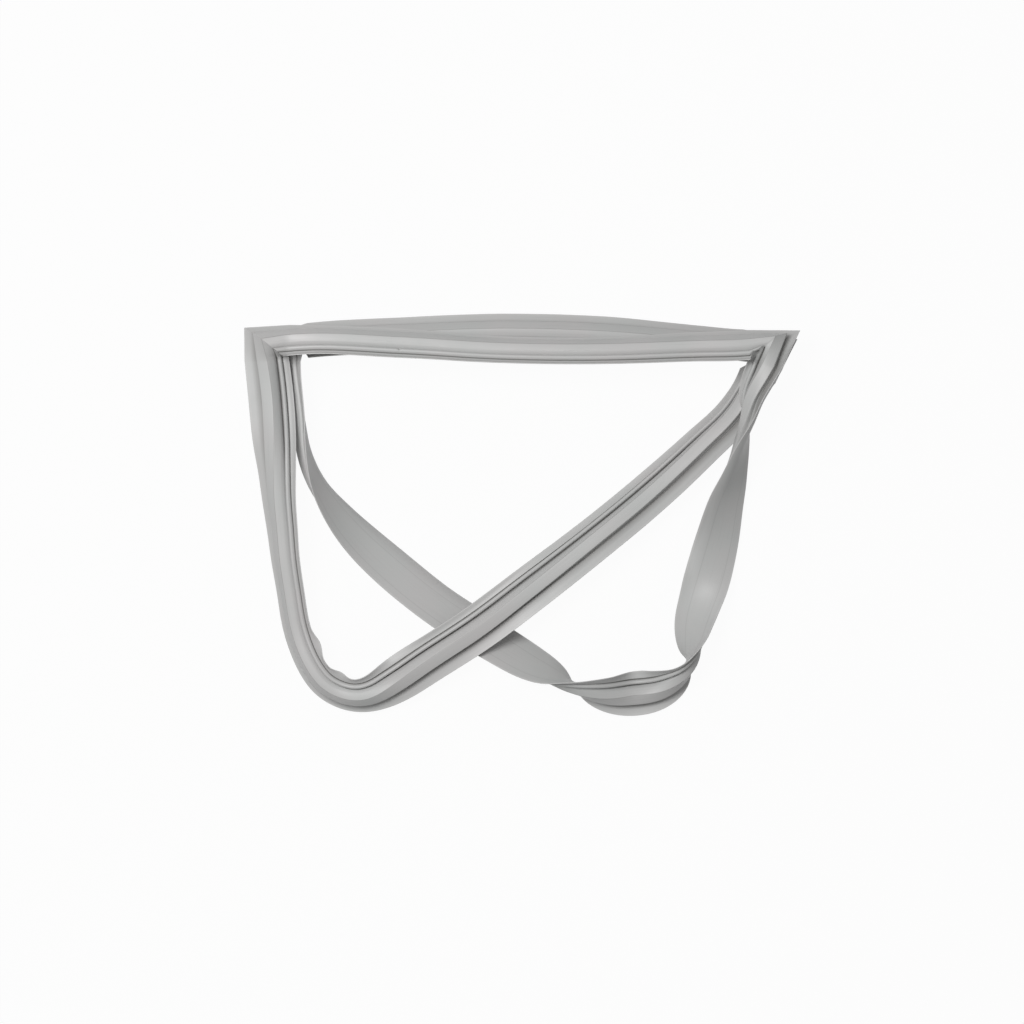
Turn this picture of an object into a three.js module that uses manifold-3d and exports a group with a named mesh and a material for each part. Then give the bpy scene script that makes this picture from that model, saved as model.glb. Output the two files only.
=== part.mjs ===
// Refrigerator door gasket: one soft welded frame, folded over itself, with a flat magnet in each side.
// Millimetres, +Z up. The gasket lies on the ground, and the origin is under the middle of its outline.
import * as THREE from "three";
import { mergeVertices } from "three/addons/utils/BufferGeometryUtils.js";
import Module from "manifold-3d";

const wasm = await Module();
wasm.setup();

const degree = Math.PI / 180;

// Overall size of the flat frame, outer edge to outer edge
const shortSide = 571;
const longSide = 1017;

// Section of the strip, from its inner free edge (u = 0) to its outer free edge, above its flat back
const webThickness = 1.2;
const innerFinWidth = 8.2;
const finGrooveWidth = 0.8;
const ribWidth = 4.4;
const ribHeight = 6.2;
const footGrooveWidth = 1.2;
const bellowsRun = 8;
const bellowsHeight = 12.8;
const bellowsWall = 1.0;
const skirtRootWall = 2.0;
const pocketTilt = 16 * degree;
const pocketWall = 0.9;
const skirtWidth = 14;

// Magnets, loose in their pockets
const magnetWidth = 10;
const magnetThickness = 2.8;
const magnetClearance = 0.3;
const magnetInset = 30;

// Small holes that let the air out of the chambers, and the pin hole through the rib
const ventRadius = 1.2;
const ventInset = 12;
const pinHoleRadius = 0.9;
const pinHoleShare = 0.27;

// How the folded strip lies
const layerLean = 36 * degree;
const layerGap = 1.2;
const mitreMargin = 3;
const mitreStretch = Math.SQRT2;
const ringLength = 80;
const ringTurn = 21 * degree;
const sampleStep = 2;

// Places across the section that follow from the sizes above
const grooveStart = innerFinWidth;
const ribStart = grooveStart + finGrooveWidth;
const ribEnd = ribStart + ribWidth;
const bellowsStart = ribEnd + footGrooveWidth;
const chamberStart = bellowsStart + bellowsWall;
const crest = new THREE.Vector2(bellowsStart + bellowsRun, bellowsHeight);
const pocketAlong = new THREE.Vector2(Math.cos(pocketTilt), -Math.sin(pocketTilt));
const pocketDown = new THREE.Vector2(-Math.sin(pocketTilt), -Math.cos(pocketTilt));
const pocketRoom = magnetWidth + 2 * magnetClearance;
const pocketHeadroom = magnetThickness + 2 * magnetClearance;
const pocketWidth = pocketRoom + 2 * pocketWall;
const pocketDepth = pocketHeadroom + 2 * pocketWall;
const skirtStart = crest.x + pocketWidth * pocketAlong.x;
const sectionWidth = skirtStart + skirtWidth;
const middle = sectionWidth / 2;
const chamberEnd = skirtStart - skirtRootWall;

// A point of the section given from the crest: along the pocket's top face and down into it
function fromCrest(along, down) {
  return crest.clone().addScaledVector(pocketAlong, along).addScaledVector(pocketDown, down);
}

function point(u, v) {
  return new THREE.Vector2(u, v);
}

// Outer outline, counter-clockwise: flat back, skirt, outer wall, pocket, bellows, groove, rib and inner fin
function outerOutline() {
  const edge = 0.6;
  const finTip = webThickness * 0.8;
  const back = [0, innerFinWidth / 2, innerFinWidth, chamberStart, chamberEnd, skirtStart,
    skirtStart + skirtWidth / 3, skirtStart + skirtWidth * 2 / 3, sectionWidth].map((u) => point(u, 0));
  const skirt = [
    point(sectionWidth, finTip),
    point(skirtStart + skirtWidth * 2 / 3, webThickness * 0.9),
    point(skirtStart + skirtWidth / 3, webThickness * 1.1),
    point(skirtStart + edge, webThickness * 1.4),
    point(skirtStart - 1.5 * edge, webThickness * 1.2),
  ];
  const pocket = [
    fromCrest(pocketWidth, pocketDepth),
    fromCrest(pocketWidth, edge),
    fromCrest(pocketWidth - edge, 0),
    fromCrest(edge, 0),
    fromCrest(-edge / 2, edge),
  ];
  const bellows = [
    point(bellowsStart + bellowsRun * 0.45, bellowsHeight * 0.72),
    point(bellowsStart + bellowsRun * 0.12, bellowsHeight * 0.42),
    point(bellowsStart, webThickness),
  ];
  const rib = [
    point(ribEnd, webThickness),
    point(ribEnd, ribHeight * 0.75),
    point(ribEnd - ribWidth * 0.28, ribHeight),
    point(ribStart + ribWidth * 0.3, ribHeight),
    point(ribStart, ribHeight * 0.7),
    point(ribStart, webThickness),
  ];
  const fin = [
    point(grooveStart, webThickness),
    point(grooveStart - edge / 4, webThickness * 2),
    point(innerFinWidth / 2, webThickness * 1.4),
    point(0, finTip),
  ];
  return [...back, ...skirt, ...pocket, ...bellows, ...rib, ...fin];
}

// The hollow that a magnet slides into
function pocketOutline() {
  const near = pocketWall;
  const far = pocketWall + pocketRoom;
  const deep = pocketWall + pocketHeadroom;
  return [fromCrest(near, deep), fromCrest(far, deep), fromCrest(far, near), fromCrest(near, near)];
}

// The air chamber under the pocket that lets the magnet reach out to the cabinet
function bellowsOutline() {
  const floor = webThickness;
  return [
    point(chamberStart, floor),
    point(chamberEnd, floor),
    fromCrest(pocketWidth - bellowsWall, pocketDepth),
    fromCrest(bellowsWall, pocketDepth),
    point(bellowsStart + bellowsRun * 0.45 + bellowsWall, bellowsHeight * 0.72 - bellowsWall),
    point(bellowsStart + bellowsRun * 0.12 + bellowsWall, bellowsHeight * 0.42),
  ];
}

function magnetOutline() {
  const near = pocketWall + magnetClearance;
  const far = near + magnetWidth;
  const deep = near + magnetThickness;
  return [fromCrest(near, deep), fromCrest(far, deep), fromCrest(far, near), fromCrest(near, near)];
}

// A fin curls up by an angle that grows evenly from its root to its free edge
function curled(p, skirtCurl, finCurl) {
  const skirtReach = p.x - skirtStart;
  const finReach = innerFinWidth - p.x;
  if (skirtReach > 0) {
    const turn = skirtCurl * skirtReach / skirtWidth;
    const u = skirtStart + skirtReach * Math.cos(turn / 2) - p.y * Math.sin(turn);
    return point(u, skirtReach * Math.sin(turn / 2) + p.y * Math.cos(turn));
  }
  if (finReach > 0) {
    const turn = finCurl * finReach / innerFinWidth;
    const u = innerFinWidth - finReach * Math.cos(turn / 2) + p.y * Math.sin(turn);
    return point(u, finReach * Math.sin(turn / 2) + p.y * Math.cos(turn));
  }
  return p;
}

// How far the section reaches below the middle of its back when it is rolled, and how tall it stands then
function reachBelow(roll) {
  const heights = outerOutline().map((p) => (p.x - middle) * Math.sin(roll) + p.y * Math.cos(roll));
  return -Math.min(...heights);
}

function standingHeight(roll) {
  return reachBelow(roll) + reachBelow(roll + Math.PI);
}

const layerHeight = standingHeight(layerLean) + layerGap;

// Each side as stations along its back: share across the short side, share of the fold's depth,
// layers of strip underneath, roll about its length, curl of the skirt and curl of the inner fin in degrees
const frontSide = [
  [0.000, 0.000, 1.10, -38, 10, 60],
  [0.066, -0.005, 1.10, -45, 10, 50],
  [0.263, 0.004, 1.10, -46, 10, 50],
  [0.459, 0.022, 1.10, -50, 10, 50],
  [0.655, 0.025, 1.10, -50, 10, 50],
  [0.850, 0.014, 1.15, -46, 10, 50],
  [0.932, 0.011, 1.25, -45, 10, 50],
  [0.995, 0.003, 1.30, -48, 10, 50],
];
const rightSide = [
  [0.997, 0.001, 1.60, 10, 60, 100],
  [0.980, 0.072, 1.55, 28, 100, 110],
  [0.956, 0.155, 1.10, 54, 75, 40],
  [0.952, 0.221, 0.80, 84, 50, 0],
  [0.938, 0.291, 0.60, 104, 45, 0],
  [0.921, 0.374, 0.35, 122, 35, 0],
  [0.908, 0.430, 0.20, 137, 25, 0],
  [0.890, 0.542, 0.00, 160, 20, 0],
  [0.868, 0.654, 0.00, 183, 20, 0],
  [0.855, 0.711, 0.00, 205, 10, 0],
  [0.843, 0.767, 0.00, 216, 0, 0],
  [0.837, 0.822, 0.00, 234, 0, 0],
  [0.829, 0.871, 0.00, 266, 0, 0],
  [0.805, 0.920, 0.00, 312, 20, 0],
  [0.768, 0.957, 0.00, 338, 30, 0],
  [0.717, 0.970, 0.00, 346, 30, 15],
  [0.677, 0.966, 0.00, 328, 20, 15],
  [0.637, 0.951, 0.00, 300, 10, 0],
  [0.599, 0.931, 0.00, 268, 0, 0],
  [0.559, 0.909, 0.00, 238, 0, 0],
  [0.525, 0.887, 0.00, 224, 0, 0],
  [0.448, 0.822, 0.00, 208, 25, 0],
  [0.318, 0.702, 0.00, 205, 30, 0],
  [0.240, 0.612, 0.00, 206, 30, 0],
  [0.192, 0.550, 0.00, 214, 30, 0],
  [0.147, 0.480, 0.00, 228, 30, 0],
  [0.106, 0.396, 0.00, 248, 20, 0],
  [0.079, 0.289, 0.00, 268, 0, 0],
  [0.073, 0.205, 0.00, 274, 0, 0],
  [0.067, 0.149, 0.00, 277, 0, 0],
  [0.057, 0.082, 0.00, 285, 0, 0],
  [0.039, -0.006, 0.00, 325, 0, 0],
];
const backSide = [
  [0.039, -0.006, 0.00, -35, 0, 40],
  [0.121, -0.015, 0.00, -34, 10, 60],
  [0.260, -0.023, 0.00, -33, 20, 60],
  [0.458, -0.033, 0.00, -32, 20, 50],
  [0.657, -0.026, 0.00, -32, 20, 50],
  [0.855, -0.003, 0.00, -36, 10, 60],
  [0.944, 0.005, 0.00, -40, 10, 50],
  [1.003, 0.013, 0.00, -20, 10, 40],
];
const leftSide = [
  [1.003, 0.013, 0.00, -20, 10, 0],
  [0.973, 0.080, 0.00, 34, 20, 0],
  [0.925, 0.191, 0.00, 38, 10, 20],
  [0.858, 0.283, 0.07, 33, 10, 30],
  [0.753, 0.416, 0.28, 25, 10, 30],
  [0.633, 0.553, 0.62, 22, 10, 30],
  [0.514, 0.680, 0.95, 10, 10, 30],
  [0.415, 0.783, 1.00, 0, 10, 40],
  [0.318, 0.871, 0.75, -6, 10, 45],
  [0.240, 0.940, 0.35, -20, 15, 45],
  [0.202, 0.964, 0.17, -36, 25, 40],
  [0.171, 0.969, 0.07, -42, 30, 50],
  [0.142, 0.958, 0.00, -44, 30, 50],
  [0.114, 0.935, 0.00, -46, 30, 50],
  [0.094, 0.898, 0.00, -48, 30, 50],
  [0.065, 0.805, 0.00, -49, 30, 50],
  [0.049, 0.679, 0.14, -50, 30, 50],
  [0.040, 0.596, 0.28, -48, 30, 50],
  [0.034, 0.512, 0.42, -44, 30, 50],
  [0.027, 0.428, 0.60, -38, 20, 50],
  [0.022, 0.344, 0.77, -28, 10, 50],
  [0.015, 0.248, 0.98, -8, 0, 60],
  [0.008, 0.136, 1.10, 0, 0, 65],
  [-0.002, -0.002, 1.10, -12, 0, 65],
];

// Stations become places: x, y, z, roll and the two curls
function stationValues(side, foldDepth) {
  return side.map(([across, down, layers, roll, skirtCurl, finCurl]) => [
    across * (shortSide - sectionWidth),
    -down * foldDepth,
    layers * layerHeight + reachBelow(roll * degree),
    roll * degree,
    skirtCurl * degree,
    finCurl * degree,
  ]);
}

function chordKnots(values) {
  const knots = [0];
  for (let i = 1; i < values.length; i++) {
    const step = Math.hypot(...[0, 1, 2].map((k) => values[i][k] - values[i - 1][k]));
    knots.push(knots[i - 1] + step);
  }
  return knots;
}

// The fold is just as deep as the two long sides are long
function foldDepthFor(length) {
  let shallow = 0;
  let deep = length;
  while (deep - shallow > 0.01) {
    const depth = (shallow + deep) / 2;
    const lengths = [rightSide, leftSide].map((side) => chordKnots(stationValues(side, depth)).at(-1));
    if (lengths[0] + lengths[1] < 2 * length) shallow = depth;
    else deep = depth;
  }
  return (shallow + deep) / 2;
}

// Slope of every value at every station, weighted by the chords beside it
function stationSlopes(values, knots) {
  const last = knots.length - 1;
  const chord = (i, k) => (values[i + 1][k] - values[i][k]) / (knots[i + 1] - knots[i]);
  const slopes = values.map((row, i) => row.map((_, k) => {
    if (i === 0 || i === last) return 0;
    const before = knots[i] - knots[i - 1];
    const after = knots[i + 1] - knots[i];
    return (after * chord(i - 1, k) + before * chord(i, k)) / (before + after);
  }));
  slopes[0] = slopes[0].map((_, k) => 1.5 * chord(0, k) - 0.5 * slopes[1][k]);
  slopes[last] = slopes[last].map((_, k) => 1.5 * chord(last - 1, k) - 0.5 * slopes[last - 1][k]);
  return slopes;
}

// Smooth cubic curve through the stations, with the strip's own axes at every step
function sampleSide(side, foldDepth) {
  const values = stationValues(side, foldDepth);
  const knots = chordKnots(values);
  const slopes = stationSlopes(values, knots);
  const length = knots.at(-1);
  const count = Math.ceil(length / sampleStep);
  const samples = [];
  let segment = 0;
  for (let n = 0; n <= count; n++) {
    const s = length * n / count;
    while (segment < knots.length - 2 && s > knots[segment + 1]) segment++;
    const span = knots[segment + 1] - knots[segment];
    const t = (s - knots[segment]) / span;
    const value = (k) => values[segment][k] * (2 * t ** 3 - 3 * t ** 2 + 1)
      + slopes[segment][k] * span * (t ** 3 - 2 * t ** 2 + t)
      + values[segment + 1][k] * (3 * t ** 2 - 2 * t ** 3)
      + slopes[segment + 1][k] * span * (t ** 3 - t ** 2);
    const slope = (k) => (values[segment][k] - values[segment + 1][k]) * (6 * t ** 2 - 6 * t) / span
      + slopes[segment][k] * (3 * t ** 2 - 4 * t + 1)
      + slopes[segment + 1][k] * (3 * t ** 2 - 2 * t);
    samples.push(frameAt(s, [0, 1, 2, 3, 4, 5].map(value), [0, 1, 2].map(slope)));
  }
  return { samples, length };
}

// Origin, tangent, outward direction and face normal of the strip where its values are known, and the height
// of what it lies on there
function frameAt(s, [x, y, z, roll, skirtCurl, finCurl], slope) {
  const tangent = new THREE.Vector3(...slope).normalize();
  const level = new THREE.Vector3(0, 0, 1).cross(tangent).normalize();
  const raised = tangent.clone().cross(level);
  const outward = level.multiplyScalar(Math.cos(roll)).addScaledVector(raised, Math.sin(roll));
  const normal = tangent.clone().cross(outward);
  const ground = z - reachBelow(roll);
  return { s, origin: new THREE.Vector3(x, y, z), tangent, outward, normal, skirtCurl, finCurl, ground };
}

function placed(frame, p) {
  const c = curled(p, frame.skirtCurl, frame.finCurl);
  return frame.origin.clone().addScaledVector(frame.outward, c.x - middle).addScaledVector(frame.normal, c.y);
}

// Rings stand close where the strip bends or twists, and far apart where it runs straight
function chooseRings({ samples, length }, startGap, endGap) {
  const inside = samples.filter(({ s }) => s > startGap && s < length - endGap);
  const effort = [0];
  for (let i = 1; i < inside.length; i++) {
    const turn = inside[i].tangent.angleTo(inside[i - 1].tangent) + inside[i].outward.angleTo(inside[i - 1].outward);
    effort.push(effort[i - 1] + (inside[i].s - inside[i - 1].s) / ringLength + turn / ringTurn);
  }
  const steps = Math.ceil(effort.at(-1));
  const rings = [];
  for (let n = 0; n <= steps; n++) {
    const goal = effort.at(-1) * n / steps;
    rings.push(inside[effort.findIndex((value) => value >= goal - 1e-9)]);
  }
  return rings;
}

// Where two sides meet, the section runs slantwise across the corner, in between the poses of both sides
function cornerBetween(before, after) {
  const start = before.samples.at(-1);
  const end = after.samples[0];
  const origin = start.origin.clone().add(end.origin).multiplyScalar(0.5);
  const outward = start.outward.clone().add(end.outward).normalize();
  const normal = start.normal.clone().add(end.normal);
  normal.addScaledVector(outward, -normal.dot(outward)).normalize();
  const skirtCurl = (start.skirtCurl + end.skirtCurl) / 2;
  const finCurl = (start.finCurl + end.finCurl) / 2;
  const ring = (outline) => outline.map((p) => {
    const c = curled(p, skirtCurl, finCurl);
    return origin.clone().addScaledVector(outward, (c.x - middle) * mitreStretch).addScaledVector(normal, c.y);
  });
  const lowest = Math.min(...ring(outerOutline()).map((p) => p.z));
  origin.z += (start.ground + end.ground) / 2 - lowest;
  const edges = ring(outerOutline());
  const reach = (frame) => edges.map((p) => p.clone().sub(frame.origin).dot(frame.tangent));
  return {
    ring,
    before: mitreMargin - Math.min(...reach(start)),
    after: mitreMargin + Math.max(...reach(end)),
  };
}

// Closed skin over rings of one outline, each ring counter-clockwise seen from where the next one lies.
// Every patch is split from its inner near corner to its outer far corner, so that both faces of a wall match.
function skin(outline, rings, closed) {
  const around = outline.length;
  const positions = rings.flat().flatMap((p) => [p.x, p.y, p.z]);
  const faces = [];
  const bands = closed ? rings.length : rings.length - 1;
  for (let i = 0; i < bands; i++) {
    for (let k = 0; k < around; k++) {
      const next = (k + 1) % around;
      const a = i * around + k;
      const b = i * around + next;
      const c = ((i + 1) % rings.length) * around + next;
      const d = ((i + 1) % rings.length) * around + k;
      if (outline[next].x >= outline[k].x) faces.push(a, b, c, a, c, d);
      else faces.push(a, b, d, b, c, d);
    }
  }
  if (!closed) {
    const last = (rings.length - 1) * around;
    for (let k = 1; k < around - 1; k++) {
      faces.push(0, k + 1, k);
      faces.push(last, last + k, last + k + 1);
    }
  }
  const geometry = new THREE.BufferGeometry();
  geometry.setAttribute("position", new THREE.Float32BufferAttribute(positions, 3));
  geometry.setIndex(faces);
  return geometry;
}

function barSkin(outline, frames) {
  return skin(outline, frames.map((frame) => outline.map((p) => placed(frame, p))), false);
}

function toSolid(geometry) {
  const bare = geometry.clone();
  bare.deleteAttribute("normal");
  bare.deleteAttribute("uv");
  const merged = mergeVertices(bare);
  return new wasm.Manifold(new wasm.Mesh({
    numProp: 3,
    vertProperties: new Float32Array(merged.attributes.position.array),
    triVerts: new Uint32Array(merged.index.array),
  }));
}

function toGeometry(solid) {
  const mesh = solid.getMesh();
  const geometry = new THREE.BufferGeometry();
  geometry.setAttribute("position", new THREE.Float32BufferAttribute(Array.from(mesh.vertProperties), 3));
  geometry.setIndex(Array.from(mesh.triVerts));
  geometry.computeVertexNormals();
  return geometry;
}

// A drilled hole square to the strip's back, from one height above the back to another
function drill(frame, u, from, to, radius) {
  const cylinder = new THREE.CylinderGeometry(radius, radius, to - from, 10);
  const upright = new THREE.Quaternion().setFromUnitVectors(new THREE.Vector3(0, 1, 0), frame.normal);
  cylinder.applyQuaternion(upright);
  const centre = placed(frame, point(u, (from + to) / 2));
  cylinder.translate(centre.x, centre.y, centre.z);
  return toSolid(cylinder);
}

function nearestTo(samples, s) {
  return samples.reduce((best, frame) => (Math.abs(frame.s - s) < Math.abs(best.s - s) ? frame : best));
}

const foldDepth = foldDepthFor(longSide - sectionWidth);
const sides = [frontSide, rightSide, backSide, leftSide].map((side) => sampleSide(side, foldDepth));
const corners = sides.map((side, i) => cornerBetween(sides.at(i - 1), side));
const clearStart = corners.map((corner) => corner.after);
const clearEnd = corners.map((corner, i) => corners[(i + 1) % corners.length].before);
const sideRings = sides.map((side, i) => chooseRings(side, clearStart[i], clearEnd[i]));

// All rings of an outline round the whole frame, a corner ring before the rings of each side
function ringsOf(outline) {
  return sideRings.flatMap((rings, i) => [
    corners[i].ring(outline),
    ...rings.map((frame) => outline.map((p) => placed(frame, p))),
  ]);
}

// One hollow of an outline in each side, closed off where the corners are welded
function hollowsOf(outline) {
  return sideRings.map((rings) => toSolid(barSkin(outline, rings)));
}

// Air holes from the back through both chambers, near the start of each side, clear of the magnet's end
function ventHoles() {
  const u = fromCrest(pocketWidth / 2, pocketDepth).x;
  const top = fromCrest(pocketWidth / 2, pocketWall + pocketHeadroom / 2).y;
  return sides.map((side, i) => {
    const frame = nearestTo(side.samples, clearStart[i] + ventInset);
    return drill(frame, u, -webThickness, top, ventRadius);
  });
}

function pinHole() {
  const frame = nearestTo(sides[0].samples, sides[0].length * pinHoleShare);
  return drill(frame, (ribStart + ribEnd) / 2, -webThickness, ribHeight + webThickness, pinHoleRadius);
}

function gasketGeometry() {
  const outline = outerOutline();
  let solid = toSolid(skin(outline, ringsOf(outline), true));
  const hollows = [pocketOutline(), bellowsOutline()].flatMap(hollowsOf);
  for (const cut of [...hollows, ...ventHoles(), pinHole()]) solid = solid.subtract(cut);
  return toGeometry(solid);
}

function magnetGeometry(index) {
  const length = sides[index].length;
  const startsAt = clearStart[index] + magnetInset;
  const endsAt = length - clearEnd[index] - magnetInset;
  const rings = sideRings[index].filter(({ s }) => s > startsAt && s < endsAt);
  return toGeometry(toSolid(barSkin(magnetOutline(), rings)));
}

const softGrey = new THREE.MeshStandardMaterial({ color: 0xb3b2b1, roughness: 0.55, metalness: 0 });
const darkFerrite = new THREE.MeshStandardMaterial({ color: 0x2c2724, roughness: 0.7, metalness: 0 });

function part(name, geometry, material) {
  const mesh = new THREE.Mesh(geometry, material);
  mesh.name = name;
  return mesh;
}

const frame = new THREE.Group();
frame.add(part("gasket", gasketGeometry(), softGrey));
["front_magnet", "right_magnet", "back_magnet", "left_magnet"].forEach((name, index) => {
  frame.add(part(name, magnetGeometry(index), darkFerrite));
});

// The whole frame is set down with its lowest point on the ground
const outline = new THREE.Box3().setFromObject(frame);
const centre = outline.getCenter(new THREE.Vector3());
frame.position.set(-centre.x, -centre.y, -outline.min.z);

export default new THREE.Group().add(frame);
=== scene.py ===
import bpy
import numpy as np
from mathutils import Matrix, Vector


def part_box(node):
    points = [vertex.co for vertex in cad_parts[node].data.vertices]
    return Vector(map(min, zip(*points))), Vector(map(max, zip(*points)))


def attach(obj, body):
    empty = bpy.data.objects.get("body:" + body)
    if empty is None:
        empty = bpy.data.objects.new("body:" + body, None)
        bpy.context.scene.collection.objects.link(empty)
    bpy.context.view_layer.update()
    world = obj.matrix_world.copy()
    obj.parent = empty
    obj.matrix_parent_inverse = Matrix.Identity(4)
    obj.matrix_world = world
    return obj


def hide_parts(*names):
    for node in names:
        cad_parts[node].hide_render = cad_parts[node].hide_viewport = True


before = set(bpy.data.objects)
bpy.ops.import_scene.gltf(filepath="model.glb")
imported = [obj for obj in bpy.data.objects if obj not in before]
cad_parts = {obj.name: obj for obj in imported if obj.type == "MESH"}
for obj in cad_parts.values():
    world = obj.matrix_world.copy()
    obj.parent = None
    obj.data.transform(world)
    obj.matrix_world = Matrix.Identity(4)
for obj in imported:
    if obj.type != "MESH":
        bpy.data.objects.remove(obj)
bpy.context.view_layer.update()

# The strip, in metres and degrees, with the same sizes as the solid model
strip = {
    "shortSide": 0.571, "longSide": 1.017,  # the flat frame, outer edge to outer edge
    "webThickness": 0.0012, "innerFinWidth": 0.0082, "finGrooveWidth": 0.0008,
    "ribWidth": 0.0044, "ribHeight": 0.0062, "footGrooveWidth": 0.0012,
    "bellowsRun": 0.008, "bellowsHeight": 0.0128,
    "pocketTilt": 16, "pocketWall": 0.0009,
    "magnetWidth": 0.010, "magnetThickness": 0.0028, "magnetClearance": 0.0003,
    "skirtWidth": 0.014,
    "layerLean": 36, "layerGap": 0.0012, "mitreMargin": 0.003,
    "curveStep": 0.0005,  # between the places looked up along a side
    "ringStep": 0.0034,  # along the strip
    "longestFacet": 0.0026,  # across it
    "cornerShares": [0, 0.012, 0.05, 0.2, 0.4, 0.6, 0.8],  # rings from a corner to the first ring of a side
    "tiny": 1e-5,  # gaps and errors smaller than this don't count
    "mostRounding": 0.45,  # share of an edge that the curve at one of its corners can take
}

# Each side as stations along its back: share across the short side, share of the fold's depth,
# layers of strip underneath, roll about its length, curl of the skirt and curl of the inner fin in degrees
sideStations = {
    "front": [
        [0.000, 0.000, 1.10, -38, 10, 60],
        [0.066, -0.005, 1.10, -45, 10, 50],
        [0.263, 0.004, 1.10, -46, 10, 50],
        [0.459, 0.022, 1.10, -50, 10, 50],
        [0.655, 0.025, 1.10, -50, 10, 50],
        [0.850, 0.014, 1.15, -46, 10, 50],
        [0.932, 0.011, 1.25, -45, 10, 50],
        [0.995, 0.003, 1.30, -48, 10, 50],
    ],
    "right": [
        [0.997, 0.001, 1.60, 10, 60, 100],
        [0.980, 0.072, 1.55, 28, 100, 110],
        [0.956, 0.155, 1.10, 54, 75, 40],
        [0.952, 0.221, 0.80, 84, 50, 0],
        [0.938, 0.291, 0.60, 104, 45, 0],
        [0.921, 0.374, 0.35, 122, 35, 0],
        [0.908, 0.430, 0.20, 137, 25, 0],
        [0.890, 0.542, 0.00, 160, 20, 0],
        [0.868, 0.654, 0.00, 183, 20, 0],
        [0.855, 0.711, 0.00, 205, 10, 0],
        [0.843, 0.767, 0.00, 216, 0, 0],
        [0.837, 0.822, 0.00, 234, 0, 0],
        [0.829, 0.871, 0.00, 266, 0, 0],
        [0.805, 0.920, 0.00, 312, 20, 0],
        [0.768, 0.957, 0.00, 338, 30, 0],
        [0.717, 0.970, 0.00, 346, 30, 15],
        [0.677, 0.966, 0.00, 328, 20, 15],
        [0.637, 0.951, 0.00, 300, 10, 0],
        [0.599, 0.931, 0.00, 268, 0, 0],
        [0.559, 0.909, 0.00, 238, 0, 0],
        [0.525, 0.887, 0.00, 224, 0, 0],
        [0.448, 0.822, 0.00, 208, 25, 0],
        [0.318, 0.702, 0.00, 205, 30, 0],
        [0.240, 0.612, 0.00, 206, 30, 0],
        [0.192, 0.550, 0.00, 214, 30, 0],
        [0.147, 0.480, 0.00, 228, 30, 0],
        [0.106, 0.396, 0.00, 248, 20, 0],
        [0.079, 0.289, 0.00, 268, 0, 0],
        [0.073, 0.205, 0.00, 274, 0, 0],
        [0.067, 0.149, 0.00, 277, 0, 0],
        [0.057, 0.082, 0.00, 285, 0, 0],
        [0.039, -0.006, 0.00, 325, 0, 0],
    ],
    "back": [
        [0.039, -0.006, 0.00, -35, 0, 40],
        [0.121, -0.015, 0.00, -34, 10, 60],
        [0.260, -0.023, 0.00, -33, 20, 60],
        [0.458, -0.033, 0.00, -32, 20, 50],
        [0.657, -0.026, 0.00, -32, 20, 50],
        [0.855, -0.003, 0.00, -36, 10, 60],
        [0.944, 0.005, 0.00, -40, 10, 50],
        [1.003, 0.013, 0.00, -20, 10, 40],
    ],
    "left": [
        [1.003, 0.013, 0.00, -20, 10, 0],
        [0.973, 0.080, 0.00, 34, 20, 0],
        [0.925, 0.191, 0.00, 38, 10, 20],
        [0.858, 0.283, 0.07, 33, 10, 30],
        [0.753, 0.416, 0.28, 25, 10, 30],
        [0.633, 0.553, 0.62, 22, 10, 30],
        [0.514, 0.680, 0.95, 10, 10, 30],
        [0.415, 0.783, 1.00, 0, 10, 40],
        [0.318, 0.871, 0.75, -6, 10, 45],
        [0.240, 0.940, 0.35, -20, 15, 45],
        [0.202, 0.964, 0.17, -36, 25, 40],
        [0.171, 0.969, 0.07, -42, 30, 50],
        [0.142, 0.958, 0.00, -44, 30, 50],
        [0.114, 0.935, 0.00, -46, 30, 50],
        [0.094, 0.898, 0.00, -48, 30, 50],
        [0.065, 0.805, 0.00, -49, 30, 50],
        [0.049, 0.679, 0.14, -50, 30, 50],
        [0.040, 0.596, 0.28, -48, 30, 50],
        [0.034, 0.512, 0.42, -44, 30, 50],
        [0.027, 0.428, 0.60, -38, 20, 50],
        [0.022, 0.344, 0.77, -28, 10, 50],
        [0.015, 0.248, 0.98, -8, 0, 60],
        [0.008, 0.136, 1.10, 0, 0, 65],
        [-0.002, -0.002, 1.10, -12, 0, 65],
    ],
}

sideNames = ["front", "right", "back", "left"]

# Places across the section that follow from the sizes above
ribStart = strip["innerFinWidth"] + strip["finGrooveWidth"]
ribEnd = ribStart + strip["ribWidth"]
bellowsStart = ribEnd + strip["footGrooveWidth"]
tilt = np.radians(strip["pocketTilt"])
crest = np.array([bellowsStart + strip["bellowsRun"], strip["bellowsHeight"]])
pocketAlong = np.array([np.cos(tilt), -np.sin(tilt)])
pocketDown = np.array([-np.sin(tilt), -np.cos(tilt)])
pocketWidth = strip["magnetWidth"] + 2 * (strip["magnetClearance"] + strip["pocketWall"])
pocketDepth = strip["magnetThickness"] + 2 * (strip["magnetClearance"] + strip["pocketWall"])
skirtStart = crest[0] + pocketWidth * pocketAlong[0]
sectionWidth = skirtStart + strip["skirtWidth"]
middle = sectionWidth / 2


# A point of the section given from the crest: along the pocket's top face and down into it
def fromCrest(along, down, rounding):
    return (*(crest + along * pocketAlong + down * pocketDown), rounding)


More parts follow.
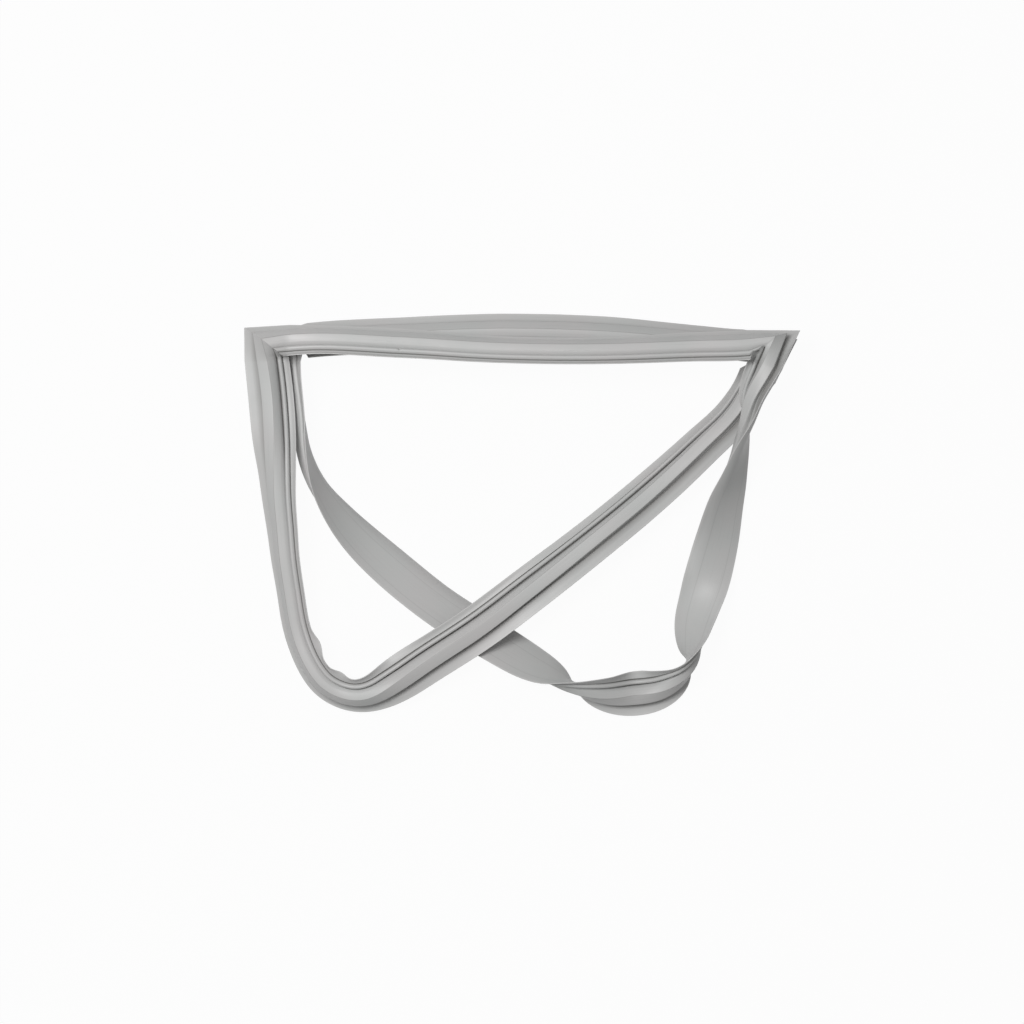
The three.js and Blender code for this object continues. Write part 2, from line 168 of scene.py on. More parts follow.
# Corners of the section, counter-clockwise from the inner free edge: across, up and rounding, in metres
def sectionCorners():
    web, fin, rib = strip["webThickness"], strip["innerFinWidth"], strip["ribWidth"]
    third = strip["skirtWidth"] / 3
    back = [(0, 0, 0.0003), (skirtStart, 0, 0), (sectionWidth, 0, 0.0003)]
    skirt = [
        (sectionWidth, web * 0.75, 0.0003),
        (skirtStart + third, web * 1.05, 0.004),
        (skirtStart + 0.0006, web * 1.4, 0.0006),
        (skirtStart - 0.0009, web * 1.2, 0.0004),
    ]
    pocket = [
        fromCrest(pocketWidth, pocketDepth, 0.0006),
        fromCrest(pocketWidth + 0.00015, pocketDepth / 2, 0.001),
        fromCrest(pocketWidth, 0, 0.0009),
        fromCrest(pocketWidth / 2, -0.0003, 0.004),
        fromCrest(0, 0, 0.0007),
    ]
    bellows = [
        (bellowsStart + strip["bellowsRun"] * 0.45, strip["bellowsHeight"] * 0.72, 0.003),
        (bellowsStart + strip["bellowsRun"] * 0.12, strip["bellowsHeight"] * 0.42, 0.003),
        (bellowsStart, web, 0.0003),
    ]
    ribPoints = [
        (ribEnd, web, 0.0003),
        (ribEnd + 0.0001, strip["ribHeight"] * 0.7, 0.001),
        (ribEnd - rib * 0.2, strip["ribHeight"], 0.0012),
        (ribStart + rib * 0.2, strip["ribHeight"], 0.0012),
        (ribStart, strip["ribHeight"] * 0.6, 0.001),
        (ribStart, web, 0.0003),
    ]
    finPoints = [
        (fin, web, 0.0002),
        (fin - 0.00015, web * 2, 0.0005),
        (fin / 2, web * 1.35, 0.002),
        (0, web * 0.75, 0.0003),
    ]
    return np.array(back + skirt + pocket + bellows + ribPoints + finPoints)


# Every corner becomes a quadratic curve between the points at its rounding's distance on both edges,
# and then every edge is cut into equal pieces no longer than the longest facet
def sectionOutline(steps=3):
    corners = sectionCorners()
    here = corners[:, None, :2]
    before, after = np.roll(here, 1, axis=0), np.roll(here, -1, axis=0)
    reach = corners[:, 2][:, None, None]
    toBefore, toAfter = before - here, after - here
    lengthBefore = np.linalg.norm(toBefore, axis=2, keepdims=True)
    lengthAfter = np.linalg.norm(toAfter, axis=2, keepdims=True)
    first = here + toBefore / lengthBefore * np.minimum(reach, strip["mostRounding"] * lengthBefore)
    last = here + toAfter / lengthAfter * np.minimum(reach, strip["mostRounding"] * lengthAfter)
    t = np.linspace(0, 1, steps)[None, :, None]
    curve = (first * (1 - t) ** 2 + here * 2 * t * (1 - t) + last * t ** 2).reshape(-1, 2)
    gaps = np.linalg.norm(np.roll(curve, -1, axis=0) - curve, axis=1)
    curve, gaps = curve[gaps > strip["tiny"]], gaps[gaps > strip["tiny"]]
    pieces = np.ceil(gaps / strip["longestFacet"]).astype(int)
    part = np.arange(pieces.sum()) - np.repeat(np.cumsum(pieces) - pieces, pieces)
    share = (part / np.repeat(pieces, pieces))[:, None]
    start = np.repeat(curve, pieces, axis=0)
    end = np.repeat(np.roll(curve, -1, axis=0), pieces, axis=0)
    return start + (end - start) * share


# A fin curls up by an angle that grows evenly from its root to its free edge: points by rings
def curled(points, skirtCurl, finCurl):
    across, up = points[:, 0][None, :], points[:, 1][None, :]
    skirtReach = np.maximum(across - skirtStart, 0)
    skirtTurn = skirtCurl[:, None] * skirtReach / strip["skirtWidth"]
    finReach = np.maximum(strip["innerFinWidth"] - across, 0)
    finTurn = finCurl[:, None] * finReach / strip["innerFinWidth"]
    flat = np.clip(across, strip["innerFinWidth"], skirtStart)
    u = flat + skirtReach * np.cos(skirtTurn / 2) - up * np.sin(skirtTurn)
    u = u - finReach * np.cos(finTurn / 2) + up * np.sin(finTurn)
    v = skirtReach * np.sin(skirtTurn / 2) + finReach * np.sin(finTurn / 2) + up * np.cos(skirtTurn + finTurn)
    return np.stack([u, v], axis=-1)


# How far the plain section reaches below the middle of its back at each roll
def reachBelow(roll):
    corners = sectionCorners()
    heights = (corners[:, 0] - middle) * np.sin(roll)[..., None] + corners[:, 1] * np.cos(roll)[..., None]
    return -heights.min(axis=-1)


lean = np.radians(strip["layerLean"])
layerHeight = reachBelow(lean) + reachBelow(lean + np.pi) + strip["layerGap"]


# Stations become places in metres and angles in radians
def stationValues(stations, foldDepth):
    table = np.array(stations, float)
    roll = np.radians(table[:, 3])
    x = table[:, 0] * (strip["shortSide"] - sectionWidth)
    y = -table[:, 1] * foldDepth
    z = table[:, 2] * layerHeight + reachBelow(roll)
    return np.column_stack([x, y, z, roll, np.radians(table[:, 4]), np.radians(table[:, 5])])


def chordKnots(values):
    return np.r_[0, np.cumsum(np.linalg.norm(np.diff(values[:, :3], axis=0), axis=1))]


# The fold is just as deep as the two long sides are long: found by halving
def foldDepthFor(length):
    shallow, deep = 0, length
    while deep - shallow > strip["tiny"]:
        depth = (shallow + deep) / 2
        lengths = [chordKnots(stationValues(sideStations[name], depth))[-1] for name in ("right", "left")]
        shallow, deep = (depth, deep) if sum(lengths) < 2 * length else (shallow, depth)
    return (shallow + deep) / 2


# Smooth cubic curve through the stations over their chord lengths, every value with its own slope
def sampleSide(stations, foldDepth):
    values = stationValues(stations, foldDepth)
    knots = chordKnots(values)
    span = np.diff(knots)[:, None]
    chord = np.diff(values, axis=0) / span
    slopes = np.empty_like(values)
    slopes[1:-1] = (span[1:] * chord[:-1] + span[:-1] * chord[1:]) / (span[1:] + span[:-1])
    slopes[0] = 1.5 * chord[0] - 0.5 * slopes[1]
    slopes[-1] = 1.5 * chord[-1] - 0.5 * slopes[-2]
    s = np.linspace(0, knots[-1], int(knots[-1] / strip["curveStep"]))
    i = np.clip(np.searchsorted(knots, s, side="right") - 1, 0, len(span) - 1)
    h = span[i]
    t = (s - knots[i])[:, None] / h
    value = (values[i] * (2 * t ** 3 - 3 * t ** 2 + 1) + slopes[i] * h * (t ** 3 - 2 * t ** 2 + t)
             + values[i + 1] * (3 * t ** 2 - 2 * t ** 3) + slopes[i + 1] * h * (t ** 3 - t ** 2))
    slope = ((values[i] - values[i + 1]) * (6 * t ** 2 - 6 * t) / h + slopes[i] * (3 * t ** 2 - 4 * t + 1)
             + slopes[i + 1] * (3 * t ** 2 - 2 * t))
    return posed(s, value, slope[:, :3])


# The strip's origin, direction, outward direction and face normal at each step
def posed(s, value, slope):
    tangent = slope / np.linalg.norm(slope, axis=1, keepdims=True)
    level = np.cross([0, 0, 1], tangent)
    level /= np.linalg.norm(level, axis=1, keepdims=True)
    roll = value[:, 3][:, None]
    outward = np.cos(roll) * level + np.sin(roll) * np.cross(tangent, level)
    return {
        "s": s, "origin": value[:, :3], "tangent": tangent, "outward": outward,
        "normal": np.cross(tangent, outward), "ground": value[:, 2] - reachBelow(value[:, 3]),
        "skirtCurl": value[:, 4], "finCurl": value[:, 5],
    }


# The rubber is a little uneven: both free edges wave by a few degrees along the strip
edgeWaves = {
    "lengths": [0.061, 0.097, 0.173],  # metres
    "fadeIn": 0.03,  # metres from each corner
    "skirt": 2.5, "fin": 4.0,  # degrees
    "skirtShift": 1.3, "finShift": 2.1,  # radians
}


def waveOf(s, degrees, shift):
    turns = 2 * np.pi * s[:, None] / np.array(edgeWaves["lengths"]) + shift * np.arange(1, 4)
    return np.radians(degrees) * np.sin(turns).mean(axis=1)


# Short places where the inner fin stands out or curls in: side, share of its length, half width in metres
# and curl in degrees
finBulges = [
    ("left", 0.669, 0.009, -110), ("left", 0.645, 0.006, 30),
    ("left", 0.620, 0.011, -95), ("left", 0.530, 0.022, -75),
]
bendSoftness = 0.007  # metres along the strip over which a bend is spread
pinHole = {
    "side": "front", "share": 0.2774, "opening": 0.0008, "bottom": 0.0005, "depth": 0.0038,
    "acrossRib": 0.1, "upRib": 0.9,  # shares of the rib's width and height that sink in
}


def bulgesOn(name, steps, length):
    total = np.zeros(len(steps))
    for side, share, halfWidth, degrees in finBulges:
        if side == name:
            total += np.radians(degrees) * np.exp(-((steps - share * length) / halfWidth) ** 2)
    return total


# Rubber bends softly: every point is a weighed mean of the same point on the rings before and after it,
# as far as three times the softness, and beyond its ends the strip is mirrored through them
def softened(body):
    reach = int(3 * bendSoftness / strip["ringStep"])
    taps = np.arange(-reach, reach + 1)
    weights = np.exp(-0.5 * (taps * strip["ringStep"] / bendSoftness) ** 2)
    before = 2 * body[:1] - body[reach:0:-1]
    after = 2 * body[-1:] - body[-2:-reach - 2:-1]
    longer = np.concatenate([before, body, after])
    return sum(w * longer[i:i + len(body)] for i, w in enumerate(weights / weights.sum()))


# Rings for the pin hole: two at its edge and two at its bottom, where the middle of the rib's top sinks in
def withPinHole(body, steps, normals, outline):
    place = pinHole["share"] * steps[-1]
    offsets = np.array([-pinHole["opening"], -pinHole["bottom"], pinHole["bottom"], pinHole["opening"]])
    after = np.searchsorted(steps, place + offsets)
    share = ((place + offsets - steps[after - 1]) / (steps[after] - steps[after - 1]))[:, None, None]
    extra = body[after - 1] * (1 - share) + body[after] * share
    nearMiddle = np.abs(outline[:, 0] - (ribStart + ribEnd) / 2) < strip["ribWidth"] * pinHole["acrossRib"]
    ribTop = nearMiddle & (outline[:, 1] > strip["ribHeight"] * pinHole["upRib"])
    extra[1:3] -= ribTop[None, :, None] * pinHole["depth"] * normals[after[0]]
    order = np.argsort(np.r_[steps, place + offsets], kind="stable")
    return np.concatenate([body, extra])[order], np.r_[steps, place + offsets][order]


def placed(side, outline, skirtCurl, finCurl):
    section = curled(outline, skirtCurl, finCurl)
    return (side["origin"][:, None] + (section[..., :1] - middle) * side["outward"][:, None]
            + section[..., 1:] * side["normal"][:, None])


# Where two sides meet, the section runs slantwise across the corner, in between the poses of both sides,
# and it is set down on what lies under it
def cornerRing(before, after, outline):
    outward = before["outward"][-1] + after["outward"][0]
    outward /= np.linalg.norm(outward)
    normal = before["normal"][-1] + after["normal"][0]
    normal -= (normal @ outward) * outward
    normal /= np.linalg.norm(normal)
    skirtCurl = (before["skirtCurl"][-1:] + after["skirtCurl"][:1]) / 2
    finCurl = (before["finCurl"][-1:] + after["finCurl"][:1]) / 2
    section = curled(outline, skirtCurl, finCurl)[0]
    ring = (section[:, :1] - middle) * np.sqrt(2) * outward + section[:, 1:] * normal
    ring += (before["origin"][-1] + after["origin"][0]) / 2
    ring[:, 2] += (before["ground"][-1] + after["ground"][0]) / 2 - ring[:, 2].min()
    return ring


# All rings of the outline, side by side: a corner ring, rings close to it that keep its edge crisp,
# and evenly spaced rings along the side, with the length so far at every ring
def stripRings(outline):
    sides = [sampleSide(sideStations[name], foldDepth) for name in sideNames]
    corners = [cornerRing(sides[i - 1], sides[i], outline) for i in range(len(sides))]
    crisp = np.array(strip["cornerShares"])
    rings, lengths = [], []
    total = 0
    for i, side in enumerate(sides):
        startCorner, endCorner = corners[i], corners[(i + 1) % len(sides)]
        clearStart = strip["mitreMargin"] + ((startCorner - side["origin"][0]) @ side["tangent"][0]).max()
        clearEnd = strip["mitreMargin"] - ((endCorner - side["origin"][-1]) @ side["tangent"][-1]).min()
        length = side["s"][-1]
        count = int((length - clearStart - clearEnd) / strip["ringStep"])
        steps = np.linspace(clearStart, length - clearEnd, count)
        pick = np.clip(np.searchsorted(side["s"], steps), 0, len(side["s"]) - 1)
        chosen = {key: value[pick] for key, value in side.items()}
        fromEnds = np.minimum(steps - clearStart, length - clearEnd - steps)
        ease = np.minimum(1, fromEnds / edgeWaves["fadeIn"])
        skirtWave = waveOf(total + steps, edgeWaves["skirt"], edgeWaves["skirtShift"])
        finWave = waveOf(total + steps, edgeWaves["fin"], edgeWaves["finShift"])
        skirtCurl = chosen["skirtCurl"] + ease * skirtWave
        finCurl = chosen["finCurl"] + ease * finWave + bulgesOn(sideNames[i], steps, length)
        body = softened(placed(chosen, outline, skirtCurl, finCurl))
        if sideNames[i] == pinHole["side"]:
            body, steps = withPinHole(body, steps, chosen["normal"], outline)
        lead = startCorner + (body[0] - startCorner) * crisp[:, None, None]
        tail = endCorner + (body[-1] - endCorner) * crisp[:0:-1, None, None]
        rings += [lead, body, tail]
        lengths += [total + clearStart * crisp, total + steps, total + length - clearEnd * crisp[:0:-1]]
        total += length
    return np.concatenate(rings), np.concatenate(lengths), total


# Where shade is painted on the section, dark in the grooves and fading out over the skirt beside the pocket,
# and how wide the painted highlight at the free edges is: in metres across it, and in webs of height above
# the back
paintedShading = {
    "besideGroove": 0.0003, "upBellows": 0.0009, "underPocket": 0.0012, "outOnSkirt": 0.0075,
    "grooveWebs": (0.9, 2.6), "skirtWebs": (0.5, 2), "skirtShare": 0.75, "freeEdge": 0.0005,
}


# How much painted shade a point of the section gets, deep down in the grooves and fading over the skirt
# beside the pocket, and whether it lies at a free edge, where a highlight is painted, each from 0 to 1
def sectionMasks(outline):
    across, up = outline[:, 0], outline[:, 1]
    web, near = strip["webThickness"], paintedShading["besideGroove"]
    grooveFrom, grooveTo = paintedShading["grooveWebs"]
    skirtFrom, skirtTo = paintedShading["skirtWebs"]
    lowDown = np.clip(grooveTo - up / web, 0, 1) * (up > web * grooveFrom)
    inFinGroove = (across > strip["innerFinWidth"] - near) & (across < ribStart + near)
    inFootGroove = (across > ribEnd - near) & (across < bellowsStart + paintedShading["upBellows"])
    fading = paintedShading["skirtShare"] * np.clip(1 - np.abs(across - skirtStart) / paintedShading["outOnSkirt"], 0, 1)
    onSkirt = (up > web * skirtFrom) & (up < web * skirtTo)
    besidePocket = (across > skirtStart - paintedShading["underPocket"]) & onSkirt
    paintedShade = np.where(inFinGroove | inFootGroove, lowDown, 0) + np.where(besidePocket, fading, 0)
    # Both free edges get a painted highlight
    freeEdge = (across < paintedShading["freeEdge"]) | (across > sectionWidth - paintedShading["freeEdge"])
    return {"paintedShade": paintedShade.clip(0, 1), "freeEdge": freeEdge.astype(float)}


# Normals at the points, each the sum of its faces' normals weighed by their areas: flat bands stay flat
def pointNormals(points):
    nextRing, nextPoint = np.roll(points, -1, axis=0), np.roll(points, -1, axis=1)
    opposite = np.roll(nextRing, -1, axis=1)
    faceNormal = np.cross(opposite - points, nextRing - nextPoint)
    total = faceNormal + np.roll(faceNormal, 1, axis=0)
    total = total + np.roll(total, 1, axis=1)
    return total / np.linalg.norm(total, axis=2, keepdims=True).clip(1e-12)


# A closed skin over a grid of points, joined in both directions, with the length along the strip
# and the way round the section in metres as its UV map
def skinMesh(name, points, along, totalLength, outline):
    rings, around = points.shape[:2]
    vertices = points.reshape(-1, 3)
    i, k = np.meshgrid(np.arange(rings), np.arange(around), indexing="ij")
    nextRing, nextPoint = (i + 1) % rings, (k + 1) % around
    quads = np.stack([i * around + k, i * around + nextPoint, nextRing * around + nextPoint,
                      nextRing * around + k], axis=-1).reshape(-1, 4)
    mesh = bpy.data.meshes.new(name)
    mesh.vertices.add(len(vertices))
    mesh.vertices.foreach_set("co", vertices.astype(np.float32).ravel())
    mesh.loops.add(quads.size)
    mesh.loops.foreach_set("vertex_index", quads.astype(np.int32).ravel())
    mesh.polygons.add(len(quads))
    mesh.polygons.foreach_set("loop_start", np.arange(0, quads.size, 4, dtype=np.int32))
    mesh.update(calc_edges=True)
    way = np.r_[0, np.cumsum(np.linalg.norm(np.roll(outline, -1, axis=0) - outline, axis=1))]
    reach = np.r_[along, totalLength]
    u = np.stack([way[k], way[k + 1], way[k + 1], way[k]], axis=-1)
    v = np.stack([reach[i], reach[i], reach[i + 1], reach[i + 1]], axis=-1)
    uvMap = mesh.uv_layers.new(name="stripMap")
    uvMap.data.foreach_set("uv", np.stack([u, v], axis=-1).astype(np.float32).ravel())
    mesh.polygons.foreach_set("use_smooth", np.ones(len(quads), bool))
    for mask, value in sectionMasks(outline).items():
        attribute = mesh.attributes.new(mask, "FLOAT", "POINT")
        attribute.data.foreach_set("value", np.tile(value, rings).astype(np.float32))
    mesh.normals_split_custom_set_from_vertices(pointNormals(points).reshape(-1, 3))
    piece = bpy.data.objects.new(name, mesh)
    bpy.context.scene.collection.objects.link(piece)
    return piece


foldDepth = foldDepthFor(strip["longSide"] - sectionWidth)
outline = sectionOutline()
rings, along, totalLength = stripRings(outline)
low, high = (np.array(corner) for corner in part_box("gasket"))
setDown = (low + high) / 2 - (rings.min(axis=(0, 1)) + rings.max(axis=(0, 1))) / 2
setDown[2] = low[2] - rings[..., 2].min()
rings = rings + setDown
gasketStrip = skinMesh("gasketStrip", rings, along, totalLength, outline)
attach(gasketStrip, "root")
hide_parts("gasket")
print("strip:", rings.shape[0], "rings of", rings.shape[1], "points,", round(totalLength, 3), "m")


# A node with its properties, and its inputs as numbers, colours or links
def addNode(tree, kind, inputs=None, **settings):
    node = tree.nodes.new(kind)
    for key, value in settings.items():
        setattr(node, key, value)
    for key, value in (inputs or {}).items():
        if isinstance(value, bpy.types.NodeSocket):
            tree.links.new(value, node.inputs[key])
        else:
            node.inputs[key].default_value = value
    return node


def scaled(tree, value, factor):
    return addNode(tree, "ShaderNodeMath", {0: value, 1: factor}, operation="MULTIPLY").outputs[0]


# A node group with named sockets, and its two end nodes
def newGroup(name, inputs, outputs):
    tree = bpy.data.node_groups.new(name, "ShaderNodeTree")
    for socketName, (kind, value) in inputs.items():
        socket = tree.interface.new_socket(socketName, in_out="INPUT", socket_type=kind)
        if value is not None:
            socket.default_value = value
    for socketName, kind in outputs.items():
        tree.interface.new_socket(socketName, in_out="OUTPUT", socket_type=kind)
    return tree, tree.nodes.new("NodeGroupInput").outputs, tree.nodes.new("NodeGroupOutput").inputs


# Fine lines that the die leaves along an extruded strip: noise stretched along its length
def makeDieLines():
    tree, given, wanted = newGroup(
        "dieLines",
        {"Strip Map": ("NodeSocketVector", None), "Lines Per Metre": ("NodeSocketFloat", 900.0),
         "Stretch": ("NodeSocketFloat", 0.01)},
        {"Height": "NodeSocketFloat", "Mask": "NodeSocketFloat"})
    apart = addNode(tree, "ShaderNodeSeparateXYZ", {"Vector": given["Strip Map"]})
    across = scaled(tree, apart.outputs["X"], given["Lines Per Metre"])
    slow = scaled(tree, given["Lines Per Metre"], given["Stretch"])
    along = scaled(tree, apart.outputs["Y"], slow)
    place = addNode(tree, "ShaderNodeCombineXYZ", {"X": across, "Y": along})
    noise = addNode(tree, "ShaderNodeTexNoise", {
        "Vector": place.outputs[0], "Scale": 1.0, "Detail": 2.0, "Roughness": 0.55})
    tree.links.new(noise.outputs["Fac"], wanted["Height"])
    mask = addNode(tree, "ShaderNodeMapRange", {
        "Value": noise.outputs["Fac"], "From Min": 0.56, "From Max": 0.72})
    tree.links.new(mask.outputs[0], wanted["Mask"])
    return tree


# The second noise in a group: its pace against the first one's, and its share
secondNoise = {"swellPace": 0.12, "swellShare": 0.45, "scuffPace": 26.0}


# Matt grain of soft plastic: small pores over slower unevenness
def makeSoftGrain():
    tree, given, wanted = newGroup(
        "softGrain",
        {"Place": ("NodeSocketVector", None), "Pores Per Metre": ("NodeSocketFloat", 1400.0)},
        {"Height": "NodeSocketFloat"})
    pores = addNode(tree, "ShaderNodeTexNoise", {
        "Vector": given["Place"], "Scale": given["Pores Per Metre"], "Detail": 2.0, "Roughness": 0.6})
    swell = addNode(tree, "ShaderNodeTexNoise", {
        "Vector": given["Place"], "Detail": 1.0,
        "Scale": scaled(tree, given["Pores Per Metre"], secondNoise["swellPace"])})
    both = addNode(tree, "ShaderNodeMix", {
        "Factor": secondNoise["swellShare"], "A": pores.outputs["Fac"], "B": swell.outputs["Fac"],
    }, data_type="FLOAT")
    tree.links.new(both.outputs[0], wanted["Height"])
    return tree


# Slow cloudy patches from storage and handling, and small scuffs inside them
def makeHandling():
    tree, given, wanted = newGroup(
        "handling",
        {"Place": ("NodeSocketVector", None), "Patches Per Metre": ("NodeSocketFloat", 14.0)},
        {"Patches": "NodeSocketFloat", "Scuffs": "NodeSocketFloat"})
    clouds = addNode(tree, "ShaderNodeTexNoise", {
        "Vector": given["Place"], "Scale": given["Patches Per Metre"], "Detail": 3.0, "Roughness": 0.5})
    soft = addNode(tree, "ShaderNodeMapRange", {
        "Value": clouds.outputs["Fac"], "From Min": 0.32, "From Max": 0.7})
    tree.links.new(soft.outputs[0], wanted["Patches"])
    marks = addNode(tree, "ShaderNodeTexNoise", {
        "Vector": given["Place"], "Detail": 4.0, "Roughness": 0.7, "Distortion": 0.4,
        "Scale": scaled(tree, given["Patches Per Metre"], secondNoise["scuffPace"])})
    sharp = addNode(tree, "ShaderNodeMapRange", {
        "Value": marks.outputs["Fac"], "From Min": 0.6, "From Max": 0.74})
    tree.links.new(scaled(tree, sharp.outputs[0], soft.outputs[0]), wanted["Scuffs"])
    return tree


# A thin line along the strip at one place of the way round its section
def makeSectionLine():
    tree, given, wanted = newGroup(
        "sectionLine",
        {"Strip Map": ("NodeSocketVector", None), "Place": ("NodeSocketFloat", 0.0),
         "Half Width": ("NodeSocketFloat", 0.0005)},
        {"Mask": "NodeSocketFloat"})
    apart = addNode(tree, "ShaderNodeSeparateXYZ", {"Vector": given["Strip Map"]})
    away = addNode(tree, "ShaderNodeMath", {0: apart.outputs["X"], 1: given["Place"]}, operation="SUBTRACT")
    away = addNode(tree, "ShaderNodeMath", {0: away.outputs[0]}, operation="ABSOLUTE")
    away = addNode(tree, "ShaderNodeMath", {0: away.outputs[0], 1: given["Half Width"]}, operation="DIVIDE")
    mask = addNode(tree, "ShaderNodeMath", {0: 1.0, 1: away.outputs[0]}, operation="SUBTRACT", use_clamp=True)
    tree.links.new(mask.outputs[0], wanted["Mask"])
    return tree


dieLines, softGrain = makeDieLines(), makeSoftGrain()
handling, sectionLine = makeHandling(), makeSectionLine()


def placeGroup(tree, group, inputs):
    return addNode(tree, "ShaderNodeGroup", inputs, node_tree=group)


# The mix node's sockets for colours are its inputs 6 and 7 and its output 2
def mixColour(tree, factor, first, second):
    return addNode(tree, "ShaderNodeMix", {0: factor, 6: first, 7: second}, data_type="RGBA").outputs[2]


def newMaterial(name):
    material = bpy.data.materials.new(name)
    material.use_nodes = True
    tree = material.node_tree
    tree.nodes.clear()
    shader = addNode(tree, "ShaderNodeBsdfPrincipled")
    addNode(tree, "ShaderNodeOutputMaterial", {"Surface": shader.outputs[0]})
    return material, tree, shader


# The strip's colours: the dark tone is painted shade in the grooves, beside the pocket and along the pocket's
# edges, and also the colour of the die lines; the pale edge tone is a painted highlight along both free
# edges, and also the colour of the scuffs
softGrey = {
    "colour": (0.475, 0.465, 0.462, 1), "coolPatch": (0.455, 0.462, 0.455, 1),
    "shadeAndDieLineTone": (0.16, 0.155, 0.148, 1), "freeEdge": (0.53, 0.525, 0.52, 1),
    "roughness": (0.40, 0.54), "bump": 0.00012, "bumpStrength": 0.6, "grainShare": 0.4,
    "linesPerMetre": 1100.0, "lineStretch": 0.012, "poresPerMetre": 1500.0, "patchesPerMetre": 15.0,
    "linesShare": 0.10, "scuffShare": 0.12, "edgeHighlightShare": 0.6, "paintedShadeShare": 0.95,
    # Painted shade lines at the edges of the pocket's top face and, faintly, on the back: place, half width,
    # strength
    "lines": [
        (0.0843, 0.0006, 0.5), (0.0721, 0.0006, 0.35), (0.0341, 0.0008, 0.18), (0.0088, 0.0008, 0.18),
    ],
}


def makeSoftGrey():
    material, tree, shader = newMaterial("softGrey")
    place = addNode(tree, "ShaderNodeTexCoord").outputs["Object"]
    stripMap = addNode(tree, "ShaderNodeUVMap", uv_map="stripMap").outputs[0]
    paintedShade = addNode(tree, "ShaderNodeAttribute", attribute_name="paintedShade").outputs["Fac"]
    freeEdge = addNode(tree, "ShaderNodeAttribute", attribute_name="freeEdge").outputs["Fac"]
    lines = placeGroup(tree, dieLines, {
        "Strip Map": stripMap, "Lines Per Metre": softGrey["linesPerMetre"],
        "Stretch": softGrey["lineStretch"]})
    grain = placeGroup(tree, softGrain, {"Place": place, "Pores Per Metre": softGrey["poresPerMetre"]})
    marks = placeGroup(tree, handling, {"Place": place, "Patches Per Metre": softGrey["patchesPerMetre"]})
    colour = mixColour(tree, marks.outputs["Patches"], softGrey["colour"], softGrey["coolPatch"])
    # Marks over the colour: die lines, scuffs, a painted highlight along the free edges, painted shade in the
    # grooves and beside the pocket, and painted shade lines at the pocket's edges
    layers = [
        (lines.outputs["Mask"], softGrey["linesShare"], softGrey["shadeAndDieLineTone"]),
        (marks.outputs["Scuffs"], softGrey["scuffShare"], softGrey["freeEdge"]),
        (freeEdge, softGrey["edgeHighlightShare"], softGrey["freeEdge"]),
        (paintedShade, softGrey["paintedShadeShare"], softGrey["shadeAndDieLineTone"]),
    ]
    # Painted shade lines along the pocket's edges and, faintly, on the back
    for linePlace, halfWidth, strength in softGrey["lines"]:
        line = placeGroup(tree, sectionLine, {
            "Strip Map": stripMap, "Place": linePlace, "Half Width": halfWidth})
        layers.append((line.outputs["Mask"], strength, softGrey["shadeAndDieLineTone"]))
    for mask, strength, shade in layers:
        colour = mixColour(tree, scaled(tree, mask, strength), colour, shade)
    tree.links.new(colour, shader.inputs["Base Color"])
    smoothest, roughest = softGrey["roughness"]
    rough = addNode(tree, "ShaderNodeMapRange", {
        "Value": marks.outputs["Patches"], "To Min": smoothest, "To Max": roughest})
    tree.links.new(rough.outputs[0], shader.inputs["Roughness"])
    height = addNode(tree, "ShaderNodeMix", {
        "Factor": softGrey["grainShare"], "A": lines.outputs["Height"], "B": grain.outputs["Height"],
    }, data_type="FLOAT")
    bump = addNode(tree, "ShaderNodeBump", {
        "Height": height.outputs[0], "Distance": softGrey["bump"], "Strength": softGrey["bumpStrength"]})
    tree.links.new(bump.outputs[0], shader.inputs["Normal"])
    return material


magnetFinish = {
    "colour": (0.030, 0.026, 0.022, 1), "rubbed": (0.075, 0.068, 0.060, 1),
    "roughness": (0.62, 0.80), "bump": 0.0001, "poresPerMetre": 2400.0, "patchesPerMetre": 40.0,
}


def makeMagnetFinish():
    material, tree, shader = newMaterial("magnetFinish")
    place = addNode(tree, "ShaderNodeTexCoord").outputs["Object"]
    grain = placeGroup(tree, softGrain, {"Place": place, "Pores Per Metre": magnetFinish["poresPerMetre"]})
    marks = placeGroup(tree, handling, {
        "Place": place, "Patches Per Metre": magnetFinish["patchesPerMetre"]})
    colour = mixColour(tree, marks.outputs["Scuffs"], magnetFinish["colour"], magnetFinish["rubbed"])
    tree.links.new(colour, shader.inputs["Base Color"])
    smoothest, roughest = magnetFinish["roughness"]
    rough = addNode(tree, "ShaderNodeMapRange", {
        "Value": marks.outputs["Patches"], "To Min": smoothest, "To Max": roughest})
    tree.links.new(rough.outputs[0], shader.inputs["Roughness"])
    bump = addNode(tree, "ShaderNodeBump", {
        "Height": grain.outputs["Height"], "Distance": magnetFinish["bump"]})
    tree.links.new(bump.outputs[0], shader.inputs["Normal"])
    return material


gasketStrip.data.materials.append(makeSoftGrey())
magnetMaterial = makeMagnetFinish()
for side in sideNames:
    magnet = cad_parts[side + "_magnet"]
    magnet.data.materials.clear()
    magnet.data.materials.append(magnetMaterial)
print("materials: softGrey on the strip, magnetFinish on four magnets")


studio = {
    "floorSize": 12.0, "floorGap": 0.0002, "floorColour": (0.50, 0.50, 0.50, 1), "floorWhite": 0.96,
    "floorRoughness": 0.9,
    "worldStrength": 0.32, "keyPlace": (-0.7, 0.4, 2.1), "keySize": 0.8, "keyPower": 36.5,
    "cameraHeight": 3.0, "lens": 101.2, "sensor": 36, "overAcross": 0.482, "overDown": 0.463,
}


